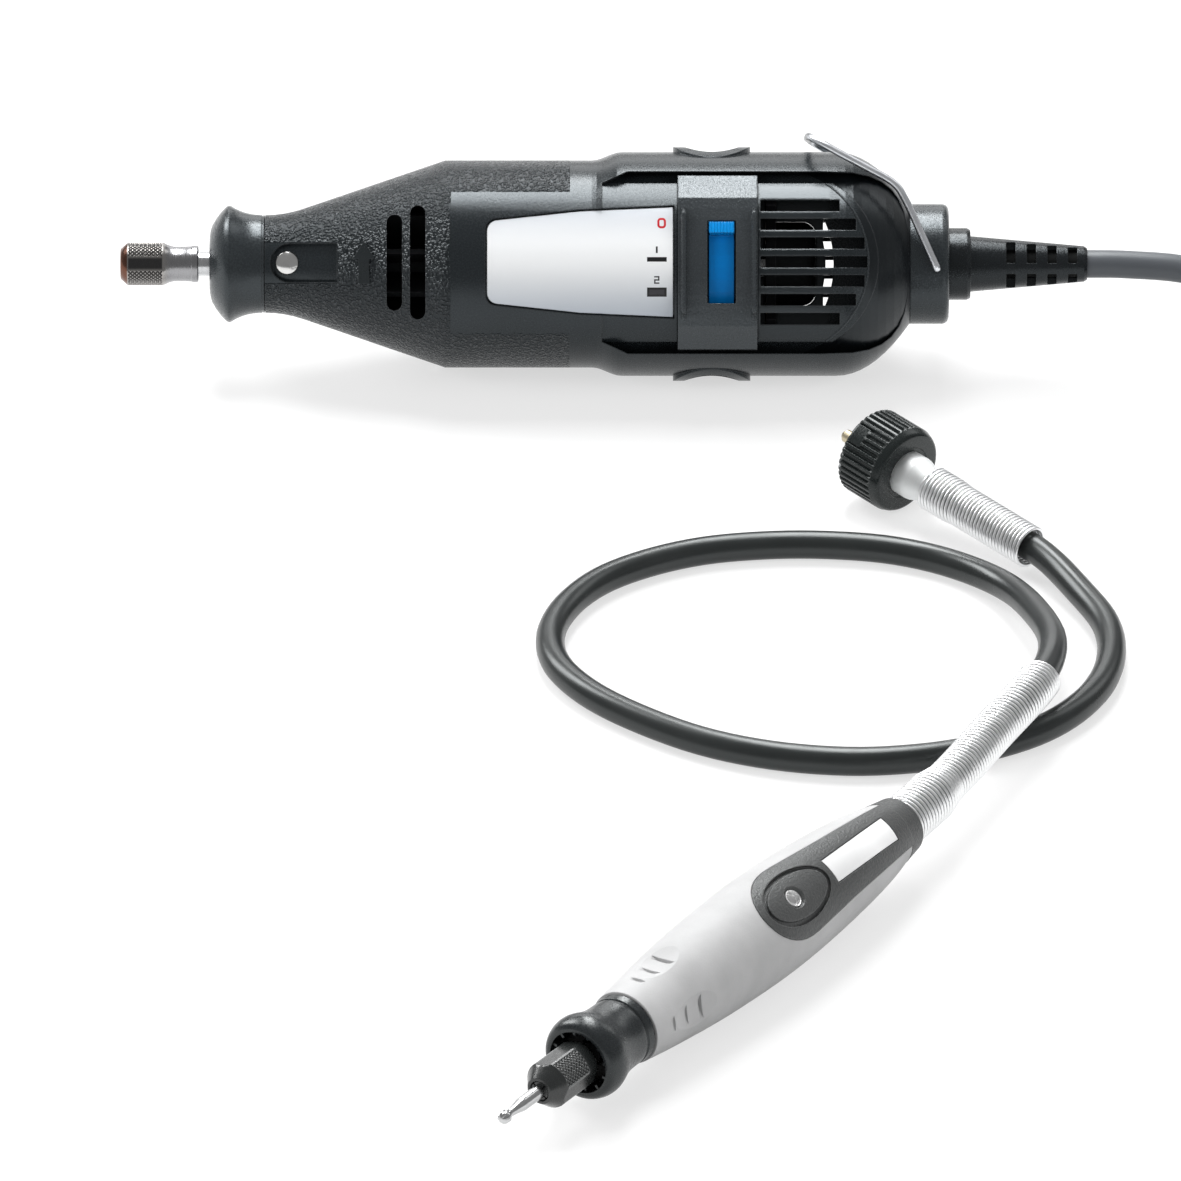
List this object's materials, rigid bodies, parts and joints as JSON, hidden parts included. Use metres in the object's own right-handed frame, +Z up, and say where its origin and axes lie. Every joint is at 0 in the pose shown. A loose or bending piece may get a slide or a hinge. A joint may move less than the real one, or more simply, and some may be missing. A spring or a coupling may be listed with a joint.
{
  "type": "rotary tool with flex shaft",
  "caption": "Corded rotary tool with vents, slide switch, collet nose and hanger loop, lying beside a flexible shaft with a coupling nut and a pen-shaped handpiece holding a ball cutter.",
  "frame": {"origin": "on the table, under the middle of the box round the tool body and the flexible shaft, the mains lead left out", "axes": "+X along the tool from its collet nut to its cord, +Y away from the viewer, +Z up"},
  "size_m": [0.3661, 0.4142, 0.0603],
  "materials": {
    "housing_plastic": "black moulded plastic, part satin and part leather-grained",
    "nose_plastic": "dark grey satin plastic",
    "inner_plastic": "grey plastic",
    "black_gloss": "black gloss plastic",
    "slider_blue": "blue gloss plastic",
    "label_silver": "silver foil with plain marks",
    "label_white": "white gloss sticker, bare",
    "bright_steel": "polished steel",
    "nut_steel": "dark burnished steel, knurled",
    "hand_nut_black": "blackened steel",
    "core_steel": "laminated steel",
    "copper": "copper wire and bars",
    "fan_plastic": "dark nylon",
    "brass_parts": "brass",
    "carbon": "pressed carbon",
    "relief_rubber": "black soft rubber",
    "cord_grey": "grey satin cord sheath",
    "plug_rubber": "dark grey moulded plug",
    "plug_brass": "nickelled pins",
    "grip_grey": "light grey matte plastic",
    "panel_black": "black satin plastic",
    "core_alloy": "turned light alloy",
    "sheath_black": "black rubber sheath with a soft sheen",
    "coupling_black": "black ribbed plastic",
    "drive_brass": "beige passivated brass"
  },
  "bodies": {
    "housing": {"housing_label_half": "housing_plastic", "housing_back_half": "housing_plastic", "housing_screws": "bright_steel", "side_label": "label_silver", "switch_saddle": "housing_plastic", "switch_module": "inner_plastic", "stator_core": "core_steel", "field_coils": "copper", "front_bearing": "bright_steel", "rear_bearing": "bright_steel", "bearing_bracket": "housing_plastic", "brush_holders": "brass_parts", "carbon_brushes": "carbon", "brush_cap_top": "black_gloss", "brush_cap_bottom": "black_gloss", "hanger_ring": "housing_plastic", "cord_clamp": "housing_plastic", "strain_relief": "relief_rubber", "mains_cord": "cord_grey", "mains_coil": "cord_grey", "plug_lead": "cord_grey", "cord_tie": "plug_rubber", "plug_body": "plug_rubber", "plug_pins": "plug_brass"},
    "rotor": {"spindle": "bright_steel", "armature_core": "core_steel", "armature_windings": "copper", "commutator": "copper", "cooling_fan": "fan_plastic", "collet": "bright_steel"},
    "collet_nut": {"collet_nut": "nut_steel"},
    "nose_cap": {"nose_cap": "nose_plastic"},
    "switch_slider": {"switch_slider": "slider_blue"},
    "lock_button": {"lock_button": "bright_steel"},
    "hanger_bail": {"hanger_bail": "bright_steel"},
    "flex": {"hand_core": "core_alloy", "hand_grip": "grip_grey", "hand_panel": "panel_black", "panel_label": "label_white", "hand_front_bearing": "bright_steel", "hand_rear_bearing": "bright_steel", "hand_spring": "bright_steel", "flex_sheath": "sheath_black", "coupling_spring": "bright_steel", "coupling_ferrule": "core_alloy"},
    "hand_rotor": {"hand_spindle": "bright_steel", "hand_collet": "bright_steel", "ball_cutter": "bright_steel"},
    "hand_nut": {"hand_nut": "hand_nut_black"},
    "hand_collar": {"hand_collar": "panel_black"},
    "drive_tip": {"drive_tip": "drive_brass"},
    "coupling_nut": {"coupling_nut": "coupling_black"}
  },
  "joints": [
    {"name": "rotor_spin", "type": "hinge", "parent": "housing", "child": "rotor", "pos_m": [-0.0181, 0.1795, 0.0269], "axis": [1, 0, 0], "continuous": true},
    {"name": "collet_nut_turn", "type": "hinge", "parent": "rotor", "child": "collet_nut", "pos_m": [-0.1071, 0.1795, 0.0269], "axis": [-1, 0, 0], "range_deg": [0, 540]},
    {"name": "nose_cap_turn", "type": "hinge", "parent": "housing", "child": "nose_cap", "pos_m": [-0.0881, 0.1795, 0.0269], "axis": [-1, 0, 0], "range_deg": [0, 720]},
    {"name": "switch_turn", "type": "hinge", "parent": "housing", "child": "switch_slider", "pos_m": [0.0279, 0.1795, 0.0269], "axis": [1, 0, 0], "range_deg": [0, 37]},
    {"name": "lock_press", "type": "slide", "parent": "housing", "child": "lock_button", "axis": [0, 0.8829, -0.4695], "range_m": [0, 0.0028], "stiffness_N_per_m": 400},
    {"name": "bail_swing", "type": "hinge", "parent": "housing", "child": "hanger_bail", "pos_m": [0.0792, 0.1795, 0.0269], "axis": [0, 0.8829, -0.4695], "range_deg": [0, 120]},
    {"name": "flex_lift", "type": "slide", "parent": "housing", "child": "flex", "axis": [0, 0, 1], "range_m": [0, 0.2]},
    {"name": "hand_spin", "type": "hinge", "parent": "flex", "child": "hand_rotor", "pos_m": [0.02196, -0.14064, 0.01218], "axis": [-0.5621, -0.8271, -0.0079], "continuous": true},
    {"name": "drive_spin", "type": "hinge", "parent": "flex", "child": "drive_tip", "pos_m": [0.06745, 0.10707, 0.01116], "axis": [0.6964, -0.7087, -0.1132], "continuous": true},
    {"name": "hand_nut_turn", "type": "hinge", "parent": "hand_rotor", "child": "hand_nut", "pos_m": [-0.01064, -0.1886, 0.01173], "axis": [-0.5621, -0.8271, -0.0079], "range_deg": [0, 540]},
    {"name": "hand_collar_turn", "type": "hinge", "parent": "flex", "child": "hand_collar", "pos_m": [-0.00052, -0.17372, 0.01187], "axis": [-0.5621, -0.8271, -0.0079], "range_deg": [0, 720]},
    {"name": "coupling_nut_turn", "type": "hinge", "parent": "flex", "child": "coupling_nut", "pos_m": [0.06675, 0.10778, 0.01127], "axis": [0.6964, -0.7087, -0.1132], "continuous": true}
  ],
  "couplings": [
    {"joint": "drive_spin", "follows": "hand_spin", "ratio": 1}
  ]
}
